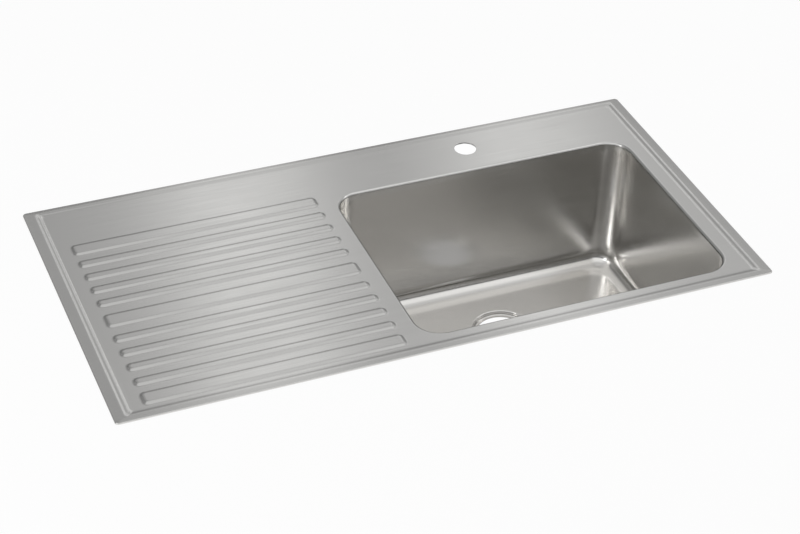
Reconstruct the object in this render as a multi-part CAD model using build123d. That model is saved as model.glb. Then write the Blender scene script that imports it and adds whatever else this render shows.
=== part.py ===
"""Drop-in kitchen sink: one bowl on the right, a ribbed drainboard on the left.

Millimetres. X runs left to right, Y front to back, Z up. The origin is the centre of the rim, in the
plane of the worktop that the rim rests on. The sheet-metal pieces are each the difference of two forms:
the form under the face that shows, and the same form moved in by the sheet's thickness.
"""

from build123d import *
from math import atan2, cos, degrees, radians, tan
import os

# ---------------------------------------------------------------- driving sizes

# Outline and sheet: 43 by 22 inches, 18 gauge
LENGTH = 1092.0
DEPTH = 559.0
CORNER_RADIUS = 6.0
SHEET = 1.2

# Rim: turned down at its edge, rising to a crest, then a step down to the deck
LIP_HEIGHT = 2.6
LIP_RADIUS = 1.5
CREST_HEIGHT = 4.4
RIM_SIDE = 21.5
RIM_END = 15.0
STEP_RUN = 3.6
STEP_RADIUS = 5.0
DECK_HEIGHT = 2.2

# Bowl
BOWL_LENGTH = 538.0
BOWL_CORNER = 41.0
BOWL_RIGHT_MARGIN = 56.0
BOWL_FRONT_MARGIN = 37.5
TAP_LEDGE = 124.5
BOWL_DEPTH = 254.0
BOWL_DRAFT = 1.0
BOWL_COVE = 30.0
OPENING_ROLL = 5.0
FLANGE_DROP = 14.0

# Drain: a dished seat with a 3 1/2 inch hole, behind the middle of the bowl
DRAIN_RADIUS = 44.5
DRAIN_SEAT_RADIUS = 50.5
DRAIN_SEAT_DEPTH = 8.0
DRAIN_SEAT_ROLL = 3.0
DRAIN_REAR_MARGIN = 131.5

# Tap hole, on the bowl's centre line, and the plate under it, which stops short of the rear rail
TAP_RADIUS = 19.05
PLATE_RAIL_GAP = 3.85
PLATE_LENGTH = 120.0
PLATE_RING = 5.5
PLATE_THICK = 2.0
PLATE_CORNER = 8.0
PLATE_HOLE_CLEARANCE = 1.5

# Drainboard ribs: a wide one in the middle, four narrow ones each side, a wide one at each edge
RIB_LEFT_MARGIN = 50.0
RIB_BOWL_GAP = 30.0
RIB_HEIGHT = 2.6
RIB_FLANK = 5.0
RIB_CORNER = 9.0
RIB_TOP_RADIUS = 9.0
RIB_FOOT_RADIUS = 7.0
RIB_NARROW = 20.0
RIB_MIDDLE = 34.0
RIB_EDGE = 30.0
RIB_FIRST = 46.5
RIB_EDGE_PITCH = 39.9
RIB_SIDE_INSET = 3.5
NARROW_RIBS = 4

# Clip rails, welded under the deck just inside the rim's step
RAIL_WIDTH = 12.0
RAIL_HEIGHT = 10.0
RAIL_WALL = 1.2
RAIL_SLOT = 7.0
RAIL_GAP = 0.5
RAIL_END_GAP = 40.0
RAIL_BEND = 1.5

# Hat-section stiffeners and damping pads
STIFFENERS = ("left", "middle", "right")
STIFFENER_PITCH = 140.0
STIFFENER_END_GAP = 18.9
STIFFENER_CROWN = 24.0
STIFFENER_FLANGE = 11.0
STIFFENER_DROP = 14.0
STIFFENER_WALL = 1.0
STIFFENER_BEND = 2.5
PAD_THICK = 3.0
PAD_CORNER = 12.0
PAD_GAP = 9.0
PAD_TOP = 80.0
PAD_FLOOR_GAP = 37.8
PAD_END_GAP = 79.0
FLOOR_PAD_MARGIN = 40.0
FLOOR_PAD_HOLE = 72.0

# Sealing strip inside the turned-down edge
SEAL_INSET = 2.5
SEAL_WIDTH = 9.0

# Clips: quarter-inch hanger bolt with 20 threads to the inch, toe, washer and nut
BOLT_RADIUS = 3.175
BOLT_TIP = 64.0
HEAD_HEIGHT = 2.8
HEAD_CLEARANCE = 0.2
HEAD_CHAMFER = 0.6
NECK_CLEARANCE = 0.3
NECK_PROUD = 0.6
TIP_CHAMFER = 0.6
RUNNING = 0.05
FACE_GAP = 0.05
NUT_FLATS = 11.1
NUT_HEIGHT = 5.6
NUT_PROUD = 2.0
NUT_EASE = 0.5
WASHER_RADIUS = 7.9
WASHER_THICK = 1.6
TOE_THICK = 2.5
TOE_WIDTH = 16.0
TOE_INSET = 0.1
TOE_HEEL = 6.5
TOE_RISE = 6.0
TOE_TEETH = 3
TOE_NOTCH = 2.7
FRONT_CLIP_PITCH = 340.0

# Cutting tools: how far one runs past a wall, and how far from a feature its edges are looked for
CUTTER_REACH = 12.0
WINDOW = 2.0
FLAT = 0.001

# ---------------------------------------------------------------- worked-out places

STEP_ANGLE = atan2(CREST_HEIGHT - DECK_HEIGHT, STEP_RUN)
RIB_ANGLE = atan2(RIB_HEIGHT, RIB_FLANK)
DECK_UNDER = DECK_HEIGHT - SHEET
BOWL_WIDTH = DEPTH - BOWL_FRONT_MARGIN - TAP_LEDGE
BOWL_X = LENGTH / 2 - BOWL_RIGHT_MARGIN - BOWL_LENGTH / 2
BOWL_Y = -DEPTH / 2 + BOWL_FRONT_MARGIN + BOWL_WIDTH / 2
FLOOR_Z = DECK_HEIGHT - BOWL_DEPTH
FLANGE_Z = DECK_HEIGHT - FLANGE_DROP
DRAIN_Y = BOWL_Y + BOWL_WIDTH / 2 - DRAIN_REAR_MARGIN
RIB_LAST = BOWL_WIDTH / 2 - RIB_SIDE_INSET
RIB_PITCH = (RIB_LAST - RIB_EDGE_PITCH - RIB_FIRST) / (NARROW_RIBS - 1)
RIB_RUN = LENGTH - RIB_LEFT_MARGIN - RIB_BOWL_GAP - BOWL_LENGTH - BOWL_RIGHT_MARGIN
RIB_X = -LENGTH / 2 + RIB_LEFT_MARGIN + RIB_RUN / 2
RAIL_X = LENGTH / 2 - RIM_SIDE - STEP_RUN - RAIL_GAP - RAIL_WIDTH / 2
RAIL_Y = DEPTH / 2 - RIM_END - STEP_RUN - RAIL_GAP - RAIL_WIDTH / 2
PLATE_HOLE = TAP_RADIUS + PLATE_HOLE_CLEARANCE
TAP_Y = RAIL_Y - RAIL_WIDTH / 2 - PLATE_RAIL_GAP - PLATE_RING - PLATE_HOLE
RAIL_BOTTOM = DECK_UNDER - RAIL_HEIGHT
LIP_TOP = RAIL_BOTTOM + RAIL_WALL
STIFFENER_LENGTH = 2 * (BOWL_Y + RAIL_Y - RAIL_WIDTH / 2 - STIFFENER_END_GAP)

os.makedirs("parts", exist_ok=True)


def save(shape, node):
    """One STEP file for each piece, named as the piece."""
    shape.label = node
    export_step(shape, f"parts/{node}.step")


def rounded(length, width, radius, z, x=0.0, y=0.0):
    """A rounded rectangle lying flat at height z."""
    return Pos(x, y, z) * RectangleRounded(length, width, radius)


def edges_at(shape, z, length=0.0, width=0.0, x=0.0, y=0.0):
    """The flat edges at height z, inside a window if one is given."""
    found = shape.edges().filter_by_position(Axis.Z, z - FLAT, z + FLAT)
    if length:
        found = found.filter_by_position(Axis.X, x - length / 2, x + length / 2)
        found = found.filter_by_position(Axis.Y, y - width / 2, y + width / 2)
    return found


def drill(radius, z, x=0.0, y=0.0):
    """An upright round cutter, longer than any wall is thick, with its middle at height z."""
    return Pos(x, y, z) * Cylinder(radius, 2 * CUTTER_REACH)


# ---------------------------------------------------------------- deck pressing


def rib_places():
    """Offset from the bowl's centre line and foot width of each rib, front to back."""
    places = [(0.0, RIB_MIDDLE), (-RIB_LAST, RIB_EDGE), (RIB_LAST, RIB_EDGE)]
    for step in range(NARROW_RIBS):
        offset = RIB_FIRST + step * RIB_PITCH
        places += [(-offset, RIB_NARROW), (offset, RIB_NARROW)]
    return sorted(places)


def deck_form(inward):
    """The solid under the deck's face, or the same moved in by the sheet when inward is its thickness."""
    step_shift = inward * tan(STEP_ANGLE / 2)
    rib_shift = inward * tan(RIB_ANGLE / 2)
    deck_z = DECK_HEIGHT - inward
    crest_z = CREST_HEIGHT - inward
    crest = (LENGTH - 2 * RIM_SIDE, DEPTH - 2 * RIM_END)
    foot = (crest[0] - 2 * STEP_RUN, crest[1] - 2 * STEP_RUN)
    grow = 2 * step_shift
    outline = (LENGTH - 2 * inward, DEPTH - 2 * inward, CORNER_RADIUS - inward)

    lip = rounded(*outline, LIP_HEIGHT - inward)
    form = extrude(rounded(*outline, FLANGE_Z), amount=LIP_HEIGHT - inward - FLANGE_Z)
    flange_top = rounded(crest[0] + grow, crest[1] + grow, CORNER_RADIUS, crest_z)
    form += loft([lip, flange_top], ruled=True)
    pan_foot = rounded(foot[0] + grow, foot[1] + grow, CORNER_RADIUS, deck_z)
    form -= loft([pan_foot, flange_top], ruled=True)
    form = fillet(edges_at(form, crest_z), STEP_RADIUS - inward)
    form = fillet(edges_at(form, deck_z), STEP_RADIUS + inward)
    form = fillet(edges_at(form, LIP_HEIGHT - inward), LIP_RADIUS - inward)

    for offset, width in rib_places():
        run = RIB_RUN - 2 * rib_shift
        across = width - 2 * rib_shift
        foot_outline = rounded(run, across, RIB_CORNER, deck_z, RIB_X, BOWL_Y + offset)
        form += extrude(foot_outline, amount=RIB_HEIGHT, taper=90 - degrees(RIB_ANGLE))
    for offset, width in rib_places():
        window = (RIB_RUN + WINDOW, width + WINDOW, RIB_X, BOWL_Y + offset)
        form = fillet(edges_at(form, deck_z + RIB_HEIGHT, *window), RIB_TOP_RADIUS - inward)
        form = fillet(edges_at(form, deck_z, *window), RIB_FOOT_RADIUS + inward)

    roomy = 2 * inward
    opening = (BOWL_LENGTH + roomy, BOWL_WIDTH + roomy, BOWL_CORNER + inward)
    form -= extrude(rounded(*opening, FLANGE_Z, BOWL_X, BOWL_Y), amount=deck_z - FLANGE_Z)
    window = (BOWL_LENGTH + roomy + WINDOW, BOWL_WIDTH + roomy + WINDOW, BOWL_X, BOWL_Y)
    return fillet(edges_at(form, deck_z, *window), OPENING_ROLL - inward)


top_form = deck_form(0.0)
under_form = deck_form(SHEET)
sheet = top_form - under_form
below_worktop = Pos(0, 0, FLANGE_Z / 2) * Box(LENGTH, DEPTH, -FLANGE_Z)
room = SHEET + OPENING_ROLL
flange_room = rounded(
    BOWL_LENGTH + 2 * room, BOWL_WIDTH + 2 * room, BOWL_CORNER + room, FLANGE_Z, BOWL_X, BOWL_Y
)
sheet -= below_worktop - extrude(flange_room, amount=-FLANGE_Z)
deck_pressing = sheet - drill(TAP_RADIUS, DECK_HEIGHT, BOWL_X, TAP_Y)
save(deck_pressing, "deck_pressing")

# ---------------------------------------------------------------- bowl shell


def bowl_form(outward):
    """The hollow of the bowl below its weld, or the same grown by outward on every side."""
    outline = (BOWL_LENGTH + 2 * outward, BOWL_WIDTH + 2 * outward, BOWL_CORNER + outward)
    mouth = rounded(*outline, FLANGE_Z, BOWL_X, BOWL_Y)
    form = extrude(mouth, amount=FLANGE_Z - FLOOR_Z + outward, dir=(0, 0, -1), taper=BOWL_DRAFT)
    form = fillet(edges_at(form, FLOOR_Z - outward), BOWL_COVE + outward)
    seat = Pos(BOWL_X, DRAIN_Y, FLOOR_Z - DRAIN_SEAT_DEPTH / 2 - outward)
    form += seat * Cylinder(DRAIN_SEAT_RADIUS + outward, DRAIN_SEAT_DEPTH)
    across = 2 * (DRAIN_SEAT_RADIUS + outward) + WINDOW
    window = (across, across, BOWL_X, DRAIN_Y)
    form = fillet(edges_at(form, FLOOR_Z - outward, *window), DRAIN_SEAT_ROLL - min(outward, SHEET))
    return fillet(edges_at(form, FLOOR_Z - DRAIN_SEAT_DEPTH - outward, *window), DRAIN_SEAT_ROLL + outward)


bowl_inside = bowl_form(0.0)
bowl_outside = bowl_form(SHEET)
drain_hole = drill(DRAIN_RADIUS, FLOOR_Z - DRAIN_SEAT_DEPTH, BOWL_X, DRAIN_Y)
bowl_shell = bowl_outside - bowl_inside - drain_hole
save(bowl_shell, "bowl_shell")

# ---------------------------------------------------------------- welded under the deck


def rail(length):
    """A slotted channel along X, open downwards, its web against the deck."""
    middle = Pos(0, 0, DECK_UNDER - RAIL_HEIGHT / 2)
    channel = middle * Box(length, RAIL_WIDTH, RAIL_HEIGHT)
    channel = fillet(channel.edges().filter_by(Axis.X), RAIL_BEND)
    channel -= middle * Box(length, RAIL_WIDTH - 2 * RAIL_WALL, RAIL_HEIGHT - 2 * RAIL_WALL)
    return channel - Pos(0, 0, RAIL_BOTTOM) * Box(length, RAIL_SLOT, RAIL_HEIGHT)


long_rail = rail(LENGTH - 2 * RAIL_END_GAP)
short_rail = rail(DEPTH - 2 * RAIL_END_GAP)
save(Pos(0, -RAIL_Y, 0) * long_rail, "rail_front")
save(Pos(0, RAIL_Y, 0) * long_rail, "rail_rear")
save(Pos(-RAIL_X, 0, 0) * Rot(0, 0, 90) * short_rail, "rail_left")
save(Pos(RAIL_X, 0, 0) * Rot(0, 0, 90) * short_rail, "rail_right")

plate_outline = (PLATE_LENGTH, 2 * (PLATE_HOLE + PLATE_RING), PLATE_CORNER)
plate = extrude(rounded(*plate_outline, DECK_UNDER, BOWL_X, TAP_Y), amount=-PLATE_THICK)
plate -= drill(PLATE_HOLE, DECK_UNDER, BOWL_X, TAP_Y)
save(plate, "tap_backing_plate")


def stiffener():
    """A folded hat channel along Y with its two flanges against the deck."""
    foot = STIFFENER_CROWN + 2 * STIFFENER_FLANGE
    wall = STIFFENER_WALL
    flanges = Pos(0, 0, DECK_UNDER - wall / 2) * Box(foot, STIFFENER_LENGTH, wall)
    crown_z = DECK_UNDER - STIFFENER_DROP / 2
    crown = Pos(0, 0, crown_z) * Box(STIFFENER_CROWN, STIFFENER_LENGTH, STIFFENER_DROP)
    crown = fillet(crown.edges().filter_by(Axis.Y).group_by(Axis.Z)[0], STIFFENER_BEND)
    hollow = Pos(0, 0, crown_z + wall) * Box(STIFFENER_CROWN - 2 * wall, STIFFENER_LENGTH, STIFFENER_DROP)
    return flanges + crown - hollow


hat = stiffener()
for place, name in enumerate(STIFFENERS):
    along = (place - (len(STIFFENERS) - 1) / 2) * STIFFENER_PITCH
    save(Pos(RIB_X + along, BOWL_Y, 0) * hat, f"stiffener_{name}")

# ---------------------------------------------------------------- damping pads and seal

board_pad_width = STIFFENER_PITCH - STIFFENER_CROWN - 2 * STIFFENER_FLANGE - 2 * PAD_GAP
board_pad_outline = (board_pad_width, STIFFENER_LENGTH - 2 * PAD_GAP, PAD_CORNER)
board_pad = extrude(rounded(*board_pad_outline, DECK_UNDER), amount=-PAD_THICK)
for side, name in ((-1, "left"), (1, "right")):
    save(Pos(RIB_X + side * STIFFENER_PITCH / 2, BOWL_Y, 0) * board_pad, f"pad_drainboard_{name}")

pad_skin = bowl_form(SHEET + PAD_THICK) - bowl_outside
pad_bottom = FLOOR_Z + PAD_FLOOR_GAP
pad_reach = BOWL_COVE + SHEET + PAD_THICK
for name, side, turn, half, across in (
    ("front", -1, 0, BOWL_WIDTH / 2, BOWL_LENGTH),
    ("rear", 1, 0, BOWL_WIDTH / 2, BOWL_LENGTH),
    ("left", -1, -90, BOWL_LENGTH / 2, BOWL_WIDTH),
    ("right", 1, -90, BOWL_LENGTH / 2, BOWL_WIDTH),
):
    outline = RectangleRounded(across - 2 * PAD_END_GAP, -PAD_TOP - pad_bottom, PAD_CORNER)
    window = extrude(Plane.XZ * outline, amount=pad_reach, both=True)
    middle = Pos(BOWL_X, BOWL_Y, (pad_bottom - PAD_TOP) / 2)
    save(pad_skin & (middle * Rot(0, 0, turn) * Pos(0, side * half, 0) * window), f"pad_bowl_{name}")

floor_outline = (BOWL_LENGTH - 2 * FLOOR_PAD_MARGIN, BOWL_WIDTH - 2 * FLOOR_PAD_MARGIN, PAD_CORNER)
floor_window = extrude(rounded(*floor_outline, FLOOR_Z, BOWL_X, BOWL_Y), amount=-CUTTER_REACH)
floor_window -= drill(FLOOR_PAD_HOLE, FLOOR_Z, BOWL_X, DRAIN_Y)
save(pad_skin & floor_window, "pad_bowl_floor")

seal_outer = rounded(LENGTH - 2 * SEAL_INSET, DEPTH - 2 * SEAL_INSET, CORNER_RADIUS, 0)
seal_reach = 2 * (SEAL_INSET + SEAL_WIDTH)
seal_inner = rounded(LENGTH - seal_reach, DEPTH - seal_reach, CORNER_RADIUS, 0)
rim_seal = extrude(seal_outer - seal_inner, amount=CREST_HEIGHT) & under_form
save(rim_seal, "rim_seal")

# ---------------------------------------------------------------- clips

NUT_LOW = -BOLT_TIP + NUT_PROUD
WASHER_LOW = NUT_LOW + NUT_HEIGHT + FACE_GAP
TOE_LOW = WASHER_LOW + WASHER_THICK + FACE_GAP
TOE_REACH = RIM_END + STEP_RUN + RAIL_GAP + RAIL_WIDTH / 2 - TOE_INSET


def hanger_bolt():
    """A bolt with a square head that slides on the rail's lips and a square neck in its slot."""
    head_side = RAIL_WIDTH - 2 * (RAIL_WALL + HEAD_CLEARANCE)
    head_low = LIP_TOP + FACE_GAP
    head = Pos(0, 0, head_low + HEAD_HEIGHT / 2) * Box(head_side, head_side, HEAD_HEIGHT)
    head = chamfer(head.edges().group_by(Axis.Z)[-1], HEAD_CHAMFER)
    neck_side = RAIL_SLOT - 2 * NECK_CLEARANCE
    neck_low = RAIL_BOTTOM - NECK_PROUD
    neck = Pos(0, 0, (head_low + neck_low) / 2) * Box(neck_side, neck_side, head_low - neck_low)
    shank = Pos(0, 0, (neck_low - BOLT_TIP) / 2) * Cylinder(BOLT_RADIUS, neck_low + BOLT_TIP)
    shank = chamfer(shank.edges().group_by(Axis.Z)[0], TIP_CHAMFER)
    return head + neck + shank


def clamp_toe():
    """A pressed toe: a flat plate on the bolt, its outer end turned up into teeth."""
    middle_y = (TOE_HEEL - TOE_REACH) / 2
    flat = Pos(0, middle_y, TOE_LOW + TOE_THICK / 2) * Box(TOE_WIDTH, TOE_REACH + TOE_HEEL, TOE_THICK)
    height = TOE_THICK + TOE_RISE
    tip = Pos(0, TOE_THICK / 2 - TOE_REACH, TOE_LOW + height / 2) * Box(TOE_WIDTH, TOE_THICK, height)
    toe = flat + tip
    toe = fillet(toe.edges().filter_by(Axis.X).group_by(Axis.Y)[0].group_by(Axis.Z)[0], TOE_THICK)
    toe = fillet(toe.edges().filter_by(Axis.Z).group_by(Axis.Y)[-1], TOE_HEEL / 2)
    notch = Rot(0, 45, 0) * Box(TOE_NOTCH, 2 * CUTTER_REACH, TOE_NOTCH)
    for gap in range(1, TOE_TEETH):
        along = (gap / TOE_TEETH - 1 / 2) * TOE_WIDTH
        toe -= Pos(along, -TOE_REACH, TOE_LOW + height) * notch
    return toe - drill(BOLT_RADIUS + 2 * RUNNING, TOE_LOW)


def washer():
    """A flat washer between the toe and the nut."""
    ring = Cylinder(WASHER_RADIUS, WASHER_THICK) - drill(BOLT_RADIUS + 2 * RUNNING, 0)
    return Pos(0, 0, WASHER_LOW + WASHER_THICK / 2) * ring


def hex_nut():
    """A hexagon nut, its corners eased top and bottom."""
    blank = extrude(RegularPolygon(NUT_FLATS / 2, 6, major_radius=False), amount=NUT_HEIGHT)
    corner = NUT_FLATS / 2 / cos(radians(30))
    eased = Pos(0, 0, NUT_HEIGHT / 2) * Cylinder(corner, NUT_HEIGHT)
    eased = chamfer(eased.edges().filter_by(GeomType.CIRCLE), NUT_EASE, 2 * NUT_EASE)
    return Pos(0, 0, NUT_LOW) * (blank & eased - drill(BOLT_RADIUS + RUNNING, 0))


CLIPS = {
    "front_left": Pos(-FRONT_CLIP_PITCH, -RAIL_Y, 0),
    "front_middle": Pos(0, -RAIL_Y, 0),
    "front_right": Pos(FRONT_CLIP_PITCH, -RAIL_Y, 0),
    "rear_left": Pos(-FRONT_CLIP_PITCH, RAIL_Y, 0) * Rot(0, 0, 180),
    "rear_middle": Pos(0, RAIL_Y, 0) * Rot(0, 0, 180),
    "rear_right": Pos(FRONT_CLIP_PITCH, RAIL_Y, 0) * Rot(0, 0, 180),
    "left": Pos(-RAIL_X, 0, 0) * Rot(0, 0, -90),
    "right": Pos(RAIL_X, 0, 0) * Rot(0, 0, 90),
}
CLIP_PIECES = {
    "hanger_bolt": hanger_bolt(),
    "clamp_toe": clamp_toe(),
    "washer": washer(),
    "hex_nut": hex_nut(),
}
for clip, place in CLIPS.items():
    for piece, shape in CLIP_PIECES.items():
        save(place * shape, f"{piece}_{clip}")
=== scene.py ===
"""A drop-in kitchen sink with one bowl and a ribbed drainboard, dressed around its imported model.

Metres, in the model's own axes: X runs left to right, Y front to back, Z up from the worktop's plane.
"""
from math import atan2, cos, radians, sin, tan

import bmesh
import bpy
import numpy as np
from mathutils import Matrix, Vector
from mathutils.geometry import delaunay_2d_cdt


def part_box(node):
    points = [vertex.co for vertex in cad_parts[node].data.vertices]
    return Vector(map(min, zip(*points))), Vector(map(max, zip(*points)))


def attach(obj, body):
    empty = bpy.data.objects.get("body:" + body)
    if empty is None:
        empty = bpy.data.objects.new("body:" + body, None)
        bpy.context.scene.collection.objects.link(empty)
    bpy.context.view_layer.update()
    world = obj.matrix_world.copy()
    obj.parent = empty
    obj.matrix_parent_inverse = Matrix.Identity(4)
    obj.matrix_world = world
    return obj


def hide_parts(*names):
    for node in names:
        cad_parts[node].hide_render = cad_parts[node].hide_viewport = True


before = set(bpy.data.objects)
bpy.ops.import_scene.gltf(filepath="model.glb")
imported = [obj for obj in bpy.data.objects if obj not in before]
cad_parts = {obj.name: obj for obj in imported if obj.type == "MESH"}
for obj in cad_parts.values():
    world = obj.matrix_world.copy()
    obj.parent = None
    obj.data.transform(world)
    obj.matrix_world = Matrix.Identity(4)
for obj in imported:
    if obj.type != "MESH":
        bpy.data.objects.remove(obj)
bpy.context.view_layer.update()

# ------------------------------------------------------------ deck pressing
# One sheet of 1.2 mm stainless steel, pressed in one stroke: a turned-down edge, a rim that rises to a
# crest and steps down to the deck, eleven hollow ribs on the drainboard, and a rolled-down bowl opening.
# It is brushed along its length before pressing, so the brushing follows the sheet's flat pattern.

deck_low, deck_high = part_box("deck_pressing")
LENGTH = deck_high[0] - deck_low[0]
DEPTH = deck_high[1] - deck_low[1]
SHEET = 0.0012
CORNER_RADIUS = 0.006

LIP_HEIGHT = 0.0026
LIP_RADIUS = 0.0015
CREST_HEIGHT = 0.0044
DECK_HEIGHT = 0.0022

# The rim rises over RIM_SIDE on its left and right and over RIM_FRONT along its front and rear. The step
# down from its crest is softer than in the solids, as the photograph shows it.
RIM_SIDE = 0.019
RIM_FRONT = 0.0113
STEP_RUN = 0.007
STEP_RADIUS = 0.016
STEP_FOOT_RADIUS = 0.020

BOWL_LENGTH = 0.538
BOWL_CORNER = 0.041
BOWL_RIGHT_MARGIN = 0.056
BOWL_FRONT_MARGIN = 0.0375
TAP_LEDGE = 0.1245
OPENING_ROLL = 0.005
FLANGE_DROP = 0.014
BOWL_WIDTH = DEPTH - BOWL_FRONT_MARGIN - TAP_LEDGE
BOWL_X = LENGTH / 2 - BOWL_RIGHT_MARGIN - BOWL_LENGTH / 2
BOWL_Y = BOWL_FRONT_MARGIN + BOWL_WIDTH / 2 - DEPTH / 2
FLANGE_Z = DECK_HEIGHT - FLANGE_DROP

TAP_RADIUS = 0.01905
TAP_EDGE = 0.0004
TAP_EDGE_RADIUS = 0.8 * TAP_EDGE
TAP_FLAT = 0.003
plate_low, plate_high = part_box("tap_backing_plate")
TAP_Y = (plate_low[1] + plate_high[1]) / 2

# Eleven ribs: one on the bowl's centre line, four narrow ones on each side of it and a wide one at each
# edge. Their places are offsets from that line.
RIB_LEFT_MARGIN = 0.05
RIB_BOWL_GAP = 0.03
RIB_HEIGHT = 0.0026
RIB_FLANK = 0.005
RIB_SHOULDER = 0.0078
RIB_CORNER = 0.009
RIB_TOP_RADIUS = 0.009
RIB_FOOT_RADIUS = 0.007
RIB_NARROW = 0.020
RIB_MIDDLE = 0.034
RIB_EDGE = 0.030
NARROW_RIBS = 4
RIB_FIRST = 0.0465
RIB_EDGE_PITCH = 0.0399
RIB_EDGE_INSET = 0.0035
RIB_LAST = BOWL_WIDTH / 2 - RIB_EDGE_INSET
RIB_RUN = LENGTH - RIB_LEFT_MARGIN - RIB_BOWL_GAP - BOWL_LENGTH - BOWL_RIGHT_MARGIN
RIB_X = RIB_LEFT_MARGIN + RIB_RUN / 2 - LENGTH / 2

# How finely the meshes are cut: the turn between two points of an arc, how close the points that guard a
# straight run lie to its ends, the flat run that ends a profile, and the squares of a flat stretch. Below
# them is how near points are joined, and the turn of an edge that still shades smooth.
ARC_TURN = radians(4.0)
GUARD = 0.0012
FLAT_RUN = 0.004
GRID = 0.011
GRID_MARGIN = 0.6 * GRID
GRID_ROOM = 0.003
CUT_INSIDE = 1
CUT_TOLERANCE = 1e-8
MERGE_DISTANCE = 1e-7
SHARP_ANGLE = radians(35.0)


def unit(vector):
    """The vector at length one."""
    return vector / np.linalg.norm(vector)


def profile(corners, radii):
    """A polyline whose inner corners are arcs, as points in rows.

    An arc of radius r that turns by a starts r * tan(a / 2) before its corner, on the line into it. It is
    centre - n * r * cos(t) + d * r * sin(t), with d the line's direction, n square to it on the turn's
    side and t from 0 to a. Each straight run has a point close to each end, so that it shades flat."""
    corners = np.array(corners, dtype=float)
    stretches = [corners[:1]]
    for before, corner, after, radius in zip(corners, corners[1:], corners[2:], radii):
        into, out = unit(corner - before), unit(after - corner)
        turn = np.arccos(np.clip(into @ out, -1.0, 1.0))
        side = np.sign(into[0] * out[1] - into[1] * out[0]) * np.array([-into[1], into[0]])
        start = corner - into * radius * tan(turn / 2)
        t = np.linspace(0.0, turn, int(np.ceil(turn / ARC_TURN)) + 1)[:, None]
        stretches.append(start + side * radius * (1.0 - np.cos(t)) + into * radius * np.sin(t))
    stretches.append(corners[-1:])
    rows = [stretches[0]]
    for last, stretch in zip(stretches, stretches[1:]):
        run = np.linalg.norm(stretch[0] - last[-1])
        guard = min(GUARD / run, 0.25)
        rows.append(last[-1] + np.array([[guard], [1.0 - guard]]) * (stretch[0] - last[-1]))
        rows.append(stretch)
    return np.concatenate(rows)


def rounded_rings(length, width, radius, x=0.0, y=0.0, arc_steps=10, side_steps=6):
    """Rounded rectangles about (x, y), one for each entry of the arrays, all with as many points.

    A corner is its centre plus radius * (cos a, sin a) over a quarter turn. A side runs straight between
    two corners, with a point close to each. Gives the rings and each point's outward direction."""
    length, width, radius = np.broadcast_arrays(*np.atleast_1d(length, width, radius))
    quarter = np.radians(90.0) * (np.arange(4)[:, None] + np.linspace(0.0, 1.0, arc_steps + 1))
    outward = np.stack([np.cos(quarter), np.sin(quarter)], axis=-1)
    signs = np.array([(1, 1), (-1, 1), (-1, -1), (1, -1)])
    half = np.stack([length / 2 - radius, width / 2 - radius], axis=-1)
    arcs = (signs * half[:, None])[:, :, None] + radius[:, None, None, None] * outward
    start = arcs[:, :, -1:]
    run = np.roll(arcs[:, :, :1], -1, axis=1) - start
    span = np.linalg.norm(run, axis=-1, keepdims=True)
    close = np.minimum(GUARD / np.maximum(span, GUARD), 0.5 / side_steps)
    middle = np.linspace(0.0, 1.0, side_steps + 1)[1:-1].reshape(1, 1, -1, 1)
    middle = np.broadcast_to(middle, (*close.shape[:2], side_steps - 1, 1))
    sides = start + np.concatenate([close, middle, 1.0 - close], axis=2) * run
    rings = np.concatenate([arcs, sides], axis=2).reshape(len(length), -1, 2) + (x, y)
    straight = np.repeat(outward[:, -1:], sides.shape[2], axis=1)
    return rings, np.concatenate([outward, straight], axis=1).reshape(-1, 2)


def inset_rings(length, width, radius, insets, x=0.0, y=0.0, **steps):
    """One rounded rectangle moved inwards by each of the insets, so that its corners stay round."""
    return rounded_rings(length - 2 * insets, width - 2 * insets, radius - insets, x, y, **steps)


def round_rings(radius, x, y, points=96):
    """Circles about (x, y): radius * (cos a, sin a) for each radius. Gives the outward directions too."""
    angle = np.linspace(0.0, 2 * np.pi, points, endpoint=False)
    outward = np.stack([np.cos(angle), np.sin(angle)], axis=-1)
    return np.atleast_1d(radius)[:, None, None] * outward + (x, y), outward


def ring_faces(rings, points):
    """Four-cornered faces between neighbouring rings, for rings that are numbered one after another."""
    row = np.arange(rings - 1)[:, None] * points
    here = np.arange(points)
    beside = (here + 1) % points
    faces = [row + here, row + beside, row + points + beside, row + points + here]
    return np.stack(faces, axis=-1).reshape(-1, 4)


def with_height(flat, z):
    """Points in the plane, given their heights."""
    z = np.broadcast_to(np.asarray(z, dtype=float), flat.shape[:-1])
    return np.concatenate([flat, z[..., None]], axis=-1)


def ring_patch(rings, heights):
    """Rings at their heights as points in rows, and the faces between them."""
    return with_height(rings, heights).reshape(-1, 3), ring_faces(*rings.shape[:2])


def pressed_patch(rings, outward, insets, heights, flat_ring):
    """Rings with their heights as a patch of one sheet, drawn on the sheet's flat pattern.

    On the flat pattern a ring lies where the flat ring does, moved against its outward direction by the
    length of the pressed profile between the two."""
    steps = np.hypot(np.diff(insets), np.diff(heights))
    along = np.concatenate([[0.0], np.cumsum(steps)])
    pattern = rings[flat_ring] - (along - along[flat_ring])[:, None, None] * outward
    points, faces = ring_patch(rings, heights[:, None])
    return points, faces, pattern.reshape(-1, 2)[faces]


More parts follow.
